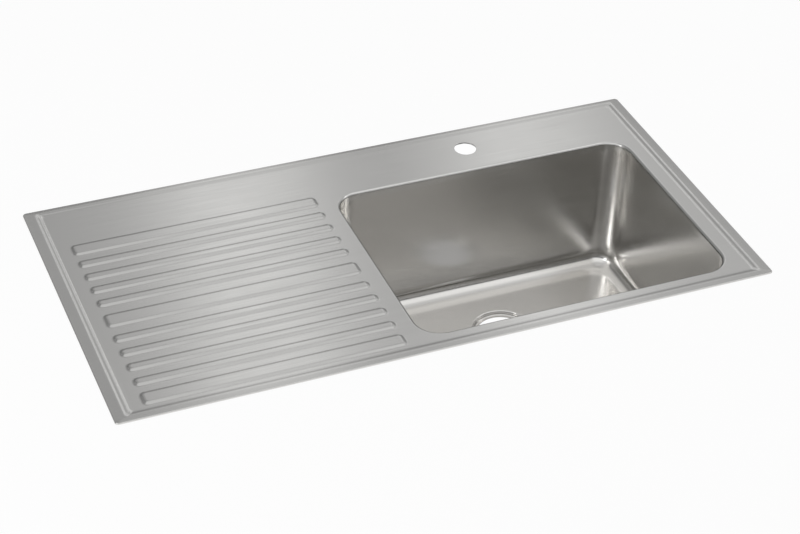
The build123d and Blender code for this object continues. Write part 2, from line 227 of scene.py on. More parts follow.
def flat_patch(loops, z, grid=None):
    """The flat sheet inside the first loop and outside the others, in triangles: its own flat pattern.

    Each hole's loop runs counter-clockwise and bulges nowhere inwards, so a triangle lies in it if its
    middle is to the left of all the loop's edges."""
    points = np.concatenate(loops if grid is None else [*loops, grid])
    starts = np.cumsum([0] + [len(loop) for loop in loops])
    edges = np.concatenate([
        start + np.stack([np.arange(len(loop)), np.roll(np.arange(len(loop)), -1)], axis=1)
        for start, loop in zip(starts, loops)
    ])
    points = [Vector(point) for point in points]
    found = delaunay_2d_cdt(points, edges.tolist(), [], CUT_INSIDE, CUT_TOLERANCE)
    flat, faces = np.array(found[0]), np.array(found[2])
    for loop in loops[1:]:
        edge = np.roll(loop, -1, axis=0) - loop
        reach = flat[faces].mean(axis=1)[:, None] - loop
        in_hole = (edge[:, 0] * reach[..., 1] > edge[:, 1] * reach[..., 0]).all(axis=1)
        faces = faces[~in_hole]
    return with_height(flat, z), faces, flat[faces]


def new_object(name, data):
    """An object with its mesh, camera or lamp, linked to the scene."""
    made = bpy.data.objects.new(name, data)
    bpy.context.collection.objects.link(made)
    return made


def joined(name, patches):
    """A piece from patches of points and faces, joined where they meet. A flat pattern becomes its UV."""
    starts = np.cumsum([0] + [len(patch[0]) for patch in patches])
    faces = [face for start, patch in zip(starts, patches) for face in (patch[1] + start).tolist()]
    mesh = bpy.data.meshes.new(name)
    mesh.from_pydata(np.concatenate([patch[0] for patch in patches]), [], faces)
    if len(patches[0]) == 3:
        pattern = np.concatenate([patch[2].reshape(-1, 2) for patch in patches])
        layer = mesh.uv_layers.new(name="flat_pattern")
        layer.uv.foreach_set("vector", pattern.astype(np.float32).ravel())
    merged = bmesh.new()
    merged.from_mesh(mesh)
    bmesh.ops.remove_doubles(merged, verts=merged.verts, dist=MERGE_DISTANCE)
    merged.to_mesh(mesh)
    merged.free()
    return new_object(name, mesh)


def sheet_piece(name, patches, thickness):
    """Joined patches with the sheet's thickness added behind the face that shows."""
    piece = joined(name, patches)
    wall = piece.modifiers.new("sheet", "SOLIDIFY")
    wall.thickness = thickness
    wall.offset = -1.0
    wall.use_even_offset = True
    return settle(piece)


def settle(piece):
    """Applies a piece's modifiers, shades it smooth and keeps its cut edges sharp."""
    bpy.context.view_layer.update()
    made = piece.evaluated_get(bpy.context.evaluated_depsgraph_get())
    mesh = bpy.data.meshes.new_from_object(made)
    mesh.name = piece.name
    piece.modifiers.clear()
    piece.data = mesh
    mesh.shade_smooth()
    mesh.set_sharp_from_angle(angle=SHARP_ANGLE)
    return piece


def rim_rings(side, front, side_steps):
    """Rings round the sink from two profiles: one for its left and right, one for its front and rear.

    A point whose outward direction is (nx, ny) has the height side * nx^2 + front * ny^2. Gives the
    rings, the outward directions and the heights."""
    rings, outward = rounded_rings(
        LENGTH - 2 * side[:, 0], DEPTH - 2 * front[:, 0], CORNER_RADIUS, side_steps=side_steps)
    return rings, outward, side[:, 1:] * outward[:, 0] ** 2 + front[:, 1:] * outward[:, 1] ** 2


def rim_patch():
    """The rim, from its turned-down edge to the flat deck, and its innermost ring."""
    radii = (LIP_RADIUS, STEP_RADIUS, STEP_FOOT_RADIUS)
    paths = []
    for run in (RIM_SIDE, RIM_FRONT):
        foot = run + STEP_RUN
        paths.append(profile(
            [(0.0, 0.0), (0.0, LIP_HEIGHT), (run, CREST_HEIGHT), (foot, DECK_HEIGHT),
             (foot + FLAT_RUN, DECK_HEIGHT)], radii))
    count = min(len(path) for path in paths)
    side, front = (path[:count] for path in paths)
    rings, outward, heights = rim_rings(side, front, side_steps=24)
    points, faces, pattern = pressed_patch(rings, outward, side[:, 0], side[:, 1], -1)
    points[:, 2] = heights.ravel()
    return (points, faces, pattern), rings[-1]


def rib_places():
    """Offset from the bowl's centre line and foot width of each rib."""
    pitch = (RIB_LAST - RIB_EDGE_PITCH - RIB_FIRST) / (NARROW_RIBS - 1)
    places = [(0.0, RIB_MIDDLE), (-RIB_LAST, RIB_EDGE), (RIB_LAST, RIB_EDGE)]
    for side in (-1, 1):
        places += [(side * (RIB_FIRST + step * pitch), RIB_NARROW) for step in range(NARROW_RIBS)]
    return places


def rib_patches(offset, width):
    """One rib, from the flat deck up its flank to its flat top, and its outermost ring.

    The flank's profile is carried round the rib's foot, a rounded rectangle that shrinks with it."""
    room = RIB_FOOT_RADIUS * tan(atan2(RIB_HEIGHT, RIB_FLANK) / 2) + GUARD
    top = DECK_HEIGHT + RIB_HEIGHT
    path = profile(
        [(-room, DECK_HEIGHT), (0.0, DECK_HEIGHT), (RIB_FLANK, top), (RIB_SHOULDER, top)],
        (RIB_FOOT_RADIUS, RIB_TOP_RADIUS))
    rings, outward = inset_rings(
        RIB_RUN, width, RIB_CORNER, path[:, 0], RIB_X, BOWL_Y + offset, side_steps=16)
    patches = [pressed_patch(rings, outward, path[:, 0], path[:, 1], 0), flat_patch([rings[-1]], top)]
    return patches, rings[0]


def opening_patch():
    """The bowl opening, from the flat deck over its roll down to the weld, and its outermost ring."""
    path = profile(
        [(-OPENING_ROLL - GUARD, DECK_HEIGHT), (0.0, DECK_HEIGHT), (0.0, FLANGE_Z)], (OPENING_ROLL,))
    rings, outward = inset_rings(
        BOWL_LENGTH, BOWL_WIDTH, BOWL_CORNER, path[:, 0], BOWL_X, BOWL_Y, arc_steps=24, side_steps=24)
    return pressed_patch(rings, outward, path[:, 0], path[:, 1], 0), rings[0]


def tap_patch():
    """The punched tap hole, its edge drawn down a little by the punch, and its outermost ring."""
    path = profile(
        [(-TAP_FLAT, DECK_HEIGHT), (0.0, DECK_HEIGHT), (0.0, DECK_HEIGHT - TAP_EDGE)], (TAP_EDGE_RADIUS,))
    rings, outward = round_rings(TAP_RADIUS - path[:, 0], BOWL_X, TAP_Y)
    return pressed_patch(rings, outward, path[:, 0], path[:, 1], 0), rings[0]


def grid_points(loops):
    """A square grid of points inside the first loop's box, clear of the boxes of the others."""
    low, high = loops[0].min(axis=0) + GRID_MARGIN, loops[0].max(axis=0) - GRID_MARGIN
    count = ((high - low) / GRID).astype(int)
    x, y = np.meshgrid(np.linspace(low[0], high[0], count[0]), np.linspace(low[1], high[1], count[1]))
    grid = np.stack([x.ravel(), y.ravel()], axis=1)
    clear = np.ones(len(grid), dtype=bool)
    for loop in loops[1:]:
        near = (grid > loop.min(axis=0) - GRID_ROOM) & (grid < loop.max(axis=0) + GRID_ROOM)
        clear &= ~near.all(axis=1)
    return grid[clear]


# Most of what a noise gives lies between these two.
NOISE_LOW = 0.3
NOISE_HIGH = 0.7


def add_node(tree, kind, inputs=(), **settings):
    """Adds a node with its properties, and gives each named input a value or the output that feeds it."""
    made = tree.nodes.new(kind)
    for name, value in settings.items():
        setattr(made, name, value)
    for name, value in dict(inputs).items():
        if isinstance(value, bpy.types.NodeSocket):
            tree.links.new(value, made.inputs[name])
        else:
            made.inputs[name].default_value = value
    return made


def worked_out(tree, operation, *values):
    """The outcome of one sum on values and outputs."""
    return add_node(tree, "ShaderNodeMath", dict(enumerate(values)), operation=operation).outputs[0]


def scaled(tree, colour, factor):
    """A colour times a factor."""
    inputs = {0: colour, "Scale": factor}
    return add_node(tree, "ShaderNodeVectorMath", inputs, operation="SCALE").outputs[0]


def noise(tree, where, cells, detail=2.0, roughness=0.5):
    """Noise with a different number of cells to the metre along each axis."""
    placed = add_node(tree, "ShaderNodeMapping", {"Vector": where, "Scale": cells})
    inputs = {"Vector": placed.outputs[0], "Scale": 1.0, "Detail": detail, "Roughness": roughness}
    return add_node(tree, "ShaderNodeTexNoise", inputs).outputs["Fac"]


def spread(tree, value, low, high):
    """A noise value, which keeps mostly to its middle, spread from low to high."""
    inputs = {
        "Value": value, "From Min": NOISE_LOW, "From Max": NOISE_HIGH, "To Min": low, "To Max": high}
    return add_node(tree, "ShaderNodeMapRange", inputs).outputs[0]


def new_material(name):
    """An empty material, its node tree and its output."""
    material = bpy.data.materials.new(name)
    material.use_nodes = True
    material.node_tree.nodes.clear()
    output = add_node(material.node_tree, "ShaderNodeOutputMaterial")
    return material, material.node_tree, output


def add_skin(tree, output, height, relief, inputs):
    """Ends a material with a surface whose bumps follow a height, in a relief of (strength, depth)."""
    strength, depth = relief
    bump = add_node(tree, "ShaderNodeBump", {"Height": height, "Strength": strength, "Distance": depth})
    skin = add_node(tree, "ShaderNodeBsdfPrincipled", {**inputs, "Normal": bump.outputs[0]})
    tree.links.new(skin.outputs[0], output.inputs["Surface"])


# The brushing's patterns: their cells to the metre along it and across it, and how far each one reaches.
HAIR_CELLS = (17.0, 3300.0, 1.0)
HAIR_DEPTH = 0.00003
STREAK_CELLS = (6.0, 420.0, 1.0)
STREAK_REACH = 0.02
CLOUD_CELLS = (9.0, 14.0, 1.0)
CLOUD_REACH = 0.015
BAND_CELLS = (4.0, 300.0, 1.0)
BAND_TINT = (0.985, 1.015)


def brushed_steel(name, colour, roughness, anisotropy, rotation, grain):
    """Stainless steel brushed along the U of its own flat pattern.

    Hair lines 60 mm long and 0.3 mm wide are in the bump, at the grain's strength, slower streaks and
    clouds in the roughness, and long faint bands in the colour. The anisotropy draws the highlights out
    along one direction, which the rotation turns by a share of a full turn."""
    material, tree, output = new_material(name)
    pattern = add_node(tree, "ShaderNodeUVMap", uv_map="flat_pattern").outputs[0]
    streaks = spread(tree, noise(tree, pattern, STREAK_CELLS), -STREAK_REACH, STREAK_REACH)
    clouds = spread(
        tree, noise(tree, pattern, CLOUD_CELLS), roughness - CLOUD_REACH, roughness + CLOUD_REACH)
    bands = spread(tree, noise(tree, pattern, BAND_CELLS), *BAND_TINT)
    hairs = noise(tree, pattern, HAIR_CELLS, detail=3.0)
    tangent = add_node(tree, "ShaderNodeTangent", direction_type="UV_MAP", uv_map="flat_pattern")
    add_skin(tree, output, hairs, (grain, HAIR_DEPTH), {
        "Base Color": scaled(tree, colour, bands), "Metallic": 1.0,
        "Roughness": worked_out(tree, "ADD", streaks, clouds), "Anisotropic": anisotropy,
        "Anisotropic Rotation": rotation, "Tangent": tangent.outputs[0]})
    return material


rim, deck_loop = rim_patch()
opening, opening_loop = opening_patch()
tap_hole, tap_loop = tap_patch()
deck_patches = [rim, opening, tap_hole]
deck_loops = [deck_loop, opening_loop, tap_loop]
for offset, width in rib_places():
    patches, foot_loop = rib_patches(offset, width)
    deck_patches += patches
    deck_loops.append(foot_loop)
deck_patches.append(flat_patch(deck_loops, DECK_HEIGHT, grid_points(deck_loops)))

deck = sheet_piece("drainboard_deck", deck_patches, SHEET)
deck.data.materials.append(brushed_steel(
    "deck_satin_steel", colour=(0.74, 0.735, 0.72), roughness=0.21, anisotropy=0.7, rotation=0.25,
    grain=0.06))
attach(deck, "sink")
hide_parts("deck_pressing")

# ------------------------------------------------------------ bowl shell
# One deep-drawn bowl of the same sheet, welded under the opening, with the weld ground flush. Its walls
# lean in by one degree to a wide cove, and the floor is dished around an open drain hole.

BOWL_DEPTH = 0.254
BOWL_DRAFT = radians(1.0)
BOWL_COVE = 0.030
FLOOR_Z = DECK_HEIGHT - BOWL_DEPTH
DRAIN_RADIUS = 0.0445
DRAIN_SEAT_RADIUS = 0.0505
DRAIN_SEAT_DEPTH = 0.008
DRAIN_SEAT_ROLL = 0.003
DRAIN_REAR_MARGIN = 0.1315
DRAIN_Y = BOWL_Y + BOWL_WIDTH / 2 - DRAIN_REAR_MARGIN
WALL_STEPS = 12


def wall_patch():
    """The bowl's walls and cove, brushed round the bowl, and the ring where the flat floor starts.

    A ring at a depth d below the flange is the opening moved in by d * tan(draft), and from there by the
    cove's arc. On the flat pattern a point lies at the length round the top ring and down the profile."""
    foot = (FLANGE_Z - FLOOR_Z) * tan(BOWL_DRAFT)
    path = profile(
        [(0.0, FLANGE_Z), (foot, FLOOR_Z), (foot + BOWL_COVE + FLAT_RUN, FLOOR_Z)], (BOWL_COVE,))
    straight = np.linspace(path[1], path[2], WALL_STEPS)
    path = np.concatenate([path[:1], straight, path[3:]])
    rings, _ = inset_rings(
        BOWL_LENGTH, BOWL_WIDTH, BOWL_CORNER, path[:, 0], BOWL_X, BOWL_Y, arc_steps=24, side_steps=24)
    closed = np.concatenate([rings[0], rings[0][:1]])
    around = np.concatenate([[0.0], np.cumsum(np.linalg.norm(np.diff(closed, axis=0), axis=1))])
    down = np.concatenate([[0.0], np.cumsum(np.hypot(*np.diff(path, axis=0).T))])
    columns = np.arange(len(around) - 1)
    sides = np.stack([around[columns], around[columns + 1], around[columns + 1], around[columns]], axis=1)
    depths = np.stack([down[:-1], down[:-1], down[1:], down[1:]], axis=1)
    pattern = np.stack(np.broadcast_arrays(sides[None], depths[:, None]), axis=-1).reshape(-1, 4, 2)
    return (*ring_patch(rings, path[:, 1:]), pattern), rings[-1]


def drain_patch():
    """The dished seat, from the flat floor over its roll down to its flat ring and the drain hole."""
    seat_z = FLOOR_Z - DRAIN_SEAT_DEPTH
    path = profile(
        [(-DRAIN_SEAT_ROLL - GUARD, FLOOR_Z), (0.0, FLOOR_Z), (0.0, seat_z),
         (DRAIN_SEAT_RADIUS - DRAIN_RADIUS, seat_z)], (DRAIN_SEAT_ROLL, DRAIN_SEAT_ROLL))
    rings, outward = round_rings(DRAIN_SEAT_RADIUS - path[:, 0], BOWL_X, DRAIN_Y, points=128)
    return pressed_patch(rings, outward, path[:, 0], path[:, 1], 0), rings[0]


walls, floor_loop = wall_patch()
drain, drain_loop = drain_patch()
bowl_floor = flat_patch([floor_loop, drain_loop], FLOOR_Z, grid_points([floor_loop, drain_loop]))
bowl = sheet_piece("bowl", [walls, drain, bowl_floor], SHEET)
bowl.data.materials.append(brushed_steel(
    "bowl_satin_steel", colour=(0.74, 0.73, 0.71), roughness=0.19, anisotropy=0.8, rotation=0.0,
    grain=0.02))
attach(bowl, "sink")
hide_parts("bowl_shell")

# ------------------------------------------------------------ rails, stiffeners and tap plate
# Folded channels and a punched plate of plain mill-finish steel, spot-welded under the deck: four slotted
# rails for the clips, three hat-section stiffeners under the drainboard and a plate around the tap hole.

WELD_PITCH = 0.031
WELD_RADIUS = 0.0024
WELD_CORE = 0.75 * WELD_RADIUS
WELD_TINT = (0.43, 0.36, 0.27, 1.0)
STIFFENER_CROWN = 0.024
hat_low, hat_high = map(Vector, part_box("stiffener_middle"))
hat_middle = (hat_low.x + hat_high.x) / 2
hat_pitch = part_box("stiffener_right")[0][0] - hat_low.x
flange_offset = (hat_high.x - hat_low.x + STIFFENER_CROWN) / 4

ROLLING_CELLS = (12.0, 900.0, 900.0)
ROLLING_REACH = 0.03
STAIN_CELLS = (22.0, 22.0, 22.0)
STAIN_ROUGHNESS = (-0.05, 0.06)
STAIN_TINT = (0.92, 1.05)
MILL_RELIEF = (0.3, 0.00005)


def share(tree, value, low, high):
    """How far a value has come from low to high, smoothly."""
    inputs = {"Value": value, "From Min": low, "From Max": high}
    return add_node(tree, "ShaderNodeMapRange", inputs, interpolation_type="SMOOTHSTEP").outputs[0]


def blended(tree, factor, first, second):
    """A mix of two colours, which is the first where the factor is zero."""
    inputs = {"Factor": factor, 6: first, 7: second}
    return add_node(tree, "ShaderNodeMix", inputs, data_type="RGBA").outputs[2]


def weld_marks(tree, where):
    """One inside round marks along both flanges of each hat, zero outside, soft at the edge.

    A point's distance from its mark is the length of (across, along). Across is its distance from the
    nearest hat's middle less the flange's, and along is that from the nearest multiple of the pitch."""
    x, y, _ = add_node(tree, "ShaderNodeSeparateXYZ", {0: where}).outputs
    from_hat = worked_out(tree, "PINGPONG", worked_out(tree, "SUBTRACT", x, hat_middle), hat_pitch / 2)
    across = worked_out(tree, "SUBTRACT", from_hat, flange_offset)
    along = worked_out(tree, "PINGPONG", y, WELD_PITCH / 2)
    offset = add_node(tree, "ShaderNodeCombineXYZ", {0: across, 1: along}).outputs[0]
    away = add_node(tree, "ShaderNodeVectorMath", {0: offset}, operation="LENGTH").outputs["Value"]
    return share(tree, away, WELD_RADIUS, WELD_CORE)


def mill_steel(name, colour, roughness, welded):
    """Rolled steel as it leaves the mill: faint rolling lines, cloudy stains and, where it is welded,
    round electrode marks with a straw-coloured heat tint."""
    material, tree, output = new_material(name)
    place = add_node(tree, "ShaderNodeTexCoord").outputs["Object"]
    lines = noise(tree, place, ROLLING_CELLS)
    stains = noise(tree, place, STAIN_CELLS, detail=4.0, roughness=0.6)
    line_roughness = spread(tree, lines, roughness - ROLLING_REACH, roughness + ROLLING_REACH)
    tint = scaled(tree, colour, spread(tree, stains, *STAIN_TINT))
    height = lines
    if welded:
        weld = weld_marks(tree, place)
        tint = blended(tree, weld, tint, WELD_TINT)
        height = worked_out(tree, "SUBTRACT", lines, weld)
    add_skin(tree, output, height, MILL_RELIEF, {
        "Base Color": tint, "Metallic": 1.0,
        "Roughness": worked_out(tree, "ADD", spread(tree, stains, *STAIN_ROUGHNESS), line_roughness)})
    return material


def finish_node(node, material):
    """Gives a CAD node that keeps its shape its own finish."""
    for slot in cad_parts[node].material_slots:
        slot.material = material


channel_steel = mill_steel("channel_mill_steel", colour=(0.56, 0.56, 0.55), roughness=0.36, welded=False)
hat_steel = mill_steel("welded_mill_steel", colour=(0.58, 0.58, 0.57), roughness=0.38, welded=True)
for side in ("front", "rear", "left", "right"):
    finish_node(f"rail_{side}", channel_steel)
for place in ("left", "middle", "right"):
    finish_node(f"stiffener_{place}", hat_steel)
finish_node("tap_backing_plate", channel_steel)

# ------------------------------------------------------------ damping pads
# Seven die-cut slabs of dense black rubber, glued to the bowl's outside and under the drainboard so that
# the steel doesn't ring. Their cut edges are rounded and their faces crown a little.

PAD_THICK = 0.003
PAD_CORNER = 0.012
PAD_EDGE = 0.0009
PAD_CROWN = 0.0003
FLOOR_PAD_HOLE = 0.072

TALC_CELLS = (18.0, 18.0, 18.0)
TALC_ROUGHNESS = (0.62, 0.82)
PEBBLE_CELLS = (900.0, 900.0, 900.0)
RUBBER_RELIEF = (0.35, 0.0002)
RUBBER_BLACK = (0.022, 0.022, 0.024, 1.0)
RUBBER_TALC = (0.052, 0.051, 0.050, 1.0)
UPWARDS = Vector((0.0, 0.0, 1.0))


def slab(name, length, width, turned, hole=None):
    """A rounded slab on its glued face, turned to its place by a matrix, with a round hole if given one.

    Its free face stands at thickness - crown * (x / half length)^2 * (y / half width)^2, so that its
    corners lie lowest."""
    edge = profile([(0.0, 0.0), (0.0, PAD_THICK), (FLAT_RUN, PAD_THICK)], (PAD_EDGE,))
    rings, _ = inset_rings(length, width, PAD_CORNER, edge[:, 0], side_steps=10)
    patches = [ring_patch(rings, edge[:, 1:])]
    glued, free = [rings[0]], [rings[-1]]
    if hole:
        bore, _ = round_rings(hole[2] + edge[:, 0], *hole[:2])
        patches.append(ring_patch(bore, edge[:, 1:]))
        glued.append(bore[0])
        free.append(bore[-1])
    patches.append(flat_patch(glued, 0.0)[:2])
    patches.append(flat_patch(free, PAD_THICK, grid_points(free))[:2])
    piece = joined(name, patches)
    place = np.empty(len(piece.data.vertices) * 3)
    piece.data.vertices.foreach_get("co", place)
    place = place.reshape(-1, 3)
    lift = (2 * place[:, 0] / length) ** 2 * (2 * place[:, 1] / width) ** 2
    place[:, 2] -= PAD_CROWN * lift * place[:, 2] / PAD_THICK
    turned = np.array(turned)
    piece.data.vertices.foreach_set("co", (place @ turned[:3, :3].T + turned[:3, 3]).ravel())
    closed = bmesh.new()
    closed.from_mesh(piece.data)
    bmesh.ops.recalc_face_normals(closed, faces=closed.faces)
    closed.to_mesh(piece.data)
    closed.free()
    return settle(piece)


def axes_at(place, across, up):
    """A matrix with its X axis across, its Y axis up and its Z axis square to both, at a place."""
    across, up = Vector(across), Vector(up)
    return Matrix.Translation(place) @ Matrix((across, up, across.cross(up))).transposed().to_4x4()


def damping_rubber(name):
    """Black filled rubber: matt, a little cloudy with talc, with a fine pebbled skin."""
    material, tree, output = new_material(name)
    place = add_node(tree, "ShaderNodeTexCoord").outputs["Object"]
    talc = noise(tree, place, TALC_CELLS, detail=5.0, roughness=0.65)
    add_skin(tree, output, noise(tree, place, PEBBLE_CELLS), RUBBER_RELIEF, {
        "Base Color": blended(tree, spread(tree, talc, 0.0, 1.0), RUBBER_BLACK, RUBBER_TALC),
        "Roughness": spread(tree, talc, *TALC_ROUGHNESS)})
    return material


rubber = damping_rubber("damping_rubber")
pads = {}
for side in ("left", "right"):
    low, high = map(Vector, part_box(f"pad_drainboard_{side}"))
    glued = axes_at(((low.x + high.x) / 2, (low.y + high.y) / 2, high.z), (1, 0, 0), (0, -1, 0))
    pads[f"pad_drainboard_{side}"] = slab(f"board_pad_{side}", high.x - low.x, high.y - low.y, glued)
for side, out in (("front", Vector((0, -1, 0))), ("rear", Vector((0, 1, 0))),
                  ("left", Vector((-1, 0, 0))), ("right", Vector((1, 0, 0)))):
    low, high = map(Vector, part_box(f"pad_bowl_{side}"))
    middle_z = (low.z + high.z) / 2
    half = BOWL_WIDTH / 2 if out.x == 0 else BOWL_LENGTH / 2
    reach = half + SHEET - (FLANGE_Z - middle_z) * tan(BOWL_DRAFT)
    up = sin(BOWL_DRAFT) * out + cos(BOWL_DRAFT) * UPWARDS
    across = up.cross(cos(BOWL_DRAFT) * out - sin(BOWL_DRAFT) * UPWARDS)
    span = high.x - low.x if out.x == 0 else high.y - low.y
    glued = axes_at(Vector((BOWL_X, BOWL_Y, middle_z)) + reach * out, across, up)
    pads[f"pad_bowl_{side}"] = slab(f"bowl_pad_{side}", span, (high.z - low.z) / cos(BOWL_DRAFT), glued)
low, high = map(Vector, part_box("pad_bowl_floor"))
glued = axes_at((BOWL_X, BOWL_Y, high.z), (1, 0, 0), (0, -1, 0))
around_drain = (0.0, BOWL_Y - DRAIN_Y, FLOOR_PAD_HOLE)
pads["pad_bowl_floor"] = slab("bowl_pad_floor", high.x - low.x, high.y - low.y, glued, hole=around_drain)
for node, pad in pads.items():
    pad.data.materials.append(rubber)
    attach(pad, "sink")
    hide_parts(node)

# ------------------------------------------------------------ rim seal
# A strip of closed-cell foam glued inside the turned-down edge, which the clips press on the worktop. It
# runs round the rim's corners in one ring, and its skin shows the foam's cells.

SEAL_INSET = 0.0025
SEAL_WIDTH = 0.009
SEAL_EDGE = 0.0004
SEAL_CLEARANCE = 0.00006

FOAM_CELLS = 2800.0
FOAM_RELIEF = (0.6, 0.0002)
FOAM_ROUGHNESS = 0.9
FOAM_DARK = (0.035, 0.035, 0.036, 1.0)
FOAM_GREY = (0.075, 0.075, 0.077, 1.0)


def seal_patch():
    """A closed ring of foam as high as the room between worktop and sheet, with rounded edges."""
    paths = []
    for run in (RIM_SIDE, RIM_FRONT):
        slope = (CREST_HEIGHT - LIP_HEIGHT) / run
        under = LIP_HEIGHT - SHEET * np.hypot(1.0, slope) - SEAL_CLEARANCE
        near, far = SEAL_INSET, SEAL_INSET + SEAL_WIDTH
        corners = [(near + SEAL_WIDTH / 2, 0.0), (near, 0.0), (near, under + slope * near),
                   (far, under + slope * far), (far, 0.0), (near + SEAL_WIDTH / 2, 0.0)]
        paths.append(profile(corners, (SEAL_EDGE,) * 4))
    count = min(len(path) for path in paths)
    side, front = (path[np.linspace(0, len(path) - 1, count).round().astype(int)] for path in paths)
    rings, _, heights = rim_rings(side, front, side_steps=30)
    return ring_patch(rings, heights)


def cell_foam(name):
    """Dark grey closed-cell foam: round cells a third of a millimetre wide in its skin."""
    material, tree, output = new_material(name)
    place = add_node(tree, "ShaderNodeTexCoord").outputs["Object"]
    foam = add_node(tree, "ShaderNodeTexVoronoi", {"Vector": place, "Scale": FOAM_CELLS})
    cells = foam.outputs["Distance"]
    add_skin(tree, output, cells, FOAM_RELIEF, {
        "Base Color": blended(tree, cells, FOAM_DARK, FOAM_GREY), "Roughness": FOAM_ROUGHNESS})
    return material


seal = settle(joined("rim_foam_seal", [seal_patch()]))
seal.data.materials.append(cell_foam("seal_foam"))
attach(seal, "sink")
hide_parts("rim_seal")

# ------------------------------------------------------------ clips
# Eight zinc-plated clips hold the sink down: a hanger bolt whose square head slides in a rail, a pressed
# toe that bites under the worktop, a washer, and a nut that draws the toe up the bolt's rolled thread.

BOLT_RADIUS = 0.003175
BOLT_REACH = 0.064
BOLT_PITCH = 0.00127
BOLT_GROOVE = 0.0007
HEAD_SIDE = 0.0092
HEAD_HEIGHT = 0.0028
HEAD_CHAMFER = 0.0006
HEAD_LOW = -0.00775
SQUARE_CORNER = 0.0004
NECK_SIDE = 0.0064
NECK_LOW = -0.0096
SHANK_OVERLAP = 0.0002
THREAD_TOP = -0.013
GROOVE_POWER = 0.7
TIP_CHAMFER = 0.0006
SHANK_POINTS = 20
LEVELS_A_TURN = 6
CLIPS = ("front_left", "front_middle", "front_right", "rear_left", "rear_middle", "rear_right",
         "left", "right")

BLOOM_CELLS = (140.0, 140.0, 140.0)
SPOT_CELLS = (600.0, 600.0, 600.0)
SPOT_ROUGHNESS = (0.26, 0.42)
ZINC_RELIEF = (0.25, 0.00005)
ZINC_BLUE = (0.60, 0.63, 0.65, 1.0)
ZINC_STRAW = (0.68, 0.66, 0.58, 1.0)


def closed_stack(rings):
    """Rings of points joined in order, with a fan to the middle of the first and of the last one."""
    count, points = rings.shape[:2]
    middles = rings[[0, -1]].mean(axis=1)
    here = np.arange(points)
    beside = (here + 1) % points
    first = np.stack([np.full(points, count * points), here, beside], axis=1)
    last = np.stack([np.full(points, count * points + 1), (count - 1) * points + beside,
                     (count - 1) * points + here], axis=1)
    ends = np.concatenate([first, last])
    shell = np.concatenate([rings.reshape(-1, 3), middles])
    return [(shell, ring_faces(count, points)), (shell, ends)]


def head_and_neck(x, y):
    """The square head with its bevelled top, and the square neck that keeps the bolt from turning."""
    top = HEAD_LOW + HEAD_HEIGHT
    sides = np.array([HEAD_SIDE - 2 * HEAD_CHAMFER, HEAD_SIDE, HEAD_SIDE, NECK_SIDE, NECK_SIDE])
    heights = np.array([top, top - HEAD_CHAMFER, HEAD_LOW, HEAD_LOW, NECK_LOW])
    rings, _ = rounded_rings(sides, sides, SQUARE_CORNER, x, y, arc_steps=3, side_steps=2)
    return closed_stack(with_height(rings, heights[:, None]))


def threaded_shank(x, y):
    """The shank from inside the neck to its chamfered tip, with its rolled thread.

    At height z and angle a the radius is the bolt's less the groove's depth times the share
    (1 + cos(a - 2 pi z / pitch)) / 2, raised to a power that widens it and fading at both ends."""
    turns = (NECK_LOW + BOLT_REACH) / BOLT_PITCH
    z = np.linspace(NECK_LOW + SHANK_OVERLAP, -BOLT_REACH, int(turns * LEVELS_A_TURN))[:, None]
    angle = np.linspace(0.0, 2 * np.pi, SHANK_POINTS, endpoint=False)
    groove = (0.5 + 0.5 * np.cos(angle - 2 * np.pi * z / BOLT_PITCH)) ** GROOVE_POWER
    fade = np.clip((THREAD_TOP - z) / BOLT_PITCH, 0.0, 1.0)
    fade = fade * np.clip((z + BOLT_REACH) / BOLT_PITCH, 0.0, 1.0)
    tip = np.clip(TIP_CHAMFER - (z + BOLT_REACH), 0.0, TIP_CHAMFER)
    radius = BOLT_RADIUS - BOLT_GROOVE * groove * fade - tip
    rings = np.stack([x + radius * np.cos(angle), y + radius * np.sin(angle)], axis=-1)
    return closed_stack(with_height(rings, z))


def zinc_plate(name):
    """Bright zinc: pale steel blue with a faint straw bloom and the dull spots of handling."""
    material, tree, output = new_material(name)
    place = add_node(tree, "ShaderNodeTexCoord").outputs["Object"]
    bloom = spread(tree, noise(tree, place, BLOOM_CELLS, detail=3.0), 0.0, 1.0)
    spots = noise(tree, place, SPOT_CELLS, detail=4.0, roughness=0.7)
    add_skin(tree, output, spots, ZINC_RELIEF, {
        "Base Color": blended(tree, bloom, ZINC_BLUE, ZINC_STRAW), "Metallic": 1.0,
        "Roughness": spread(tree, spots, *SPOT_ROUGHNESS)})
    return material


zinc = zinc_plate("bright_zinc")
for clip in CLIPS:
    low, high = map(Vector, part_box(f"washer_{clip}"))
    x, y = (low.x + high.x) / 2, (low.y + high.y) / 2
    bolt = settle(joined(f"threaded_bolt_{clip}", head_and_neck(x, y) + threaded_shank(x, y)))
    bolt.data.materials.append(zinc)
    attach(bolt, f"bolt_{clip}")
    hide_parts(f"hanger_bolt_{clip}")
    for part in ("clamp_toe", "washer", "hex_nut"):
        finish_node(f"{part}_{clip}", zinc)

# ------------------------------------------------------------ camera, floor and studio
# The camera stands where the photographer stood. A pale plane at the worktop's height, with the sink's
# cut-out, is the floor: it shows its upper side only, so that what hangs below can be seen from below.

AZIMUTH = radians(-23.404)
ELEVATION = radians(36.497)
ROLL = radians(2.229)
FOCAL_PIXELS = 2064.24
PHOTO_WIDTH = 800.0
SENSOR = 36.0
CAMERA_PLACE = (-1.0703, -2.5000, 1.9661)


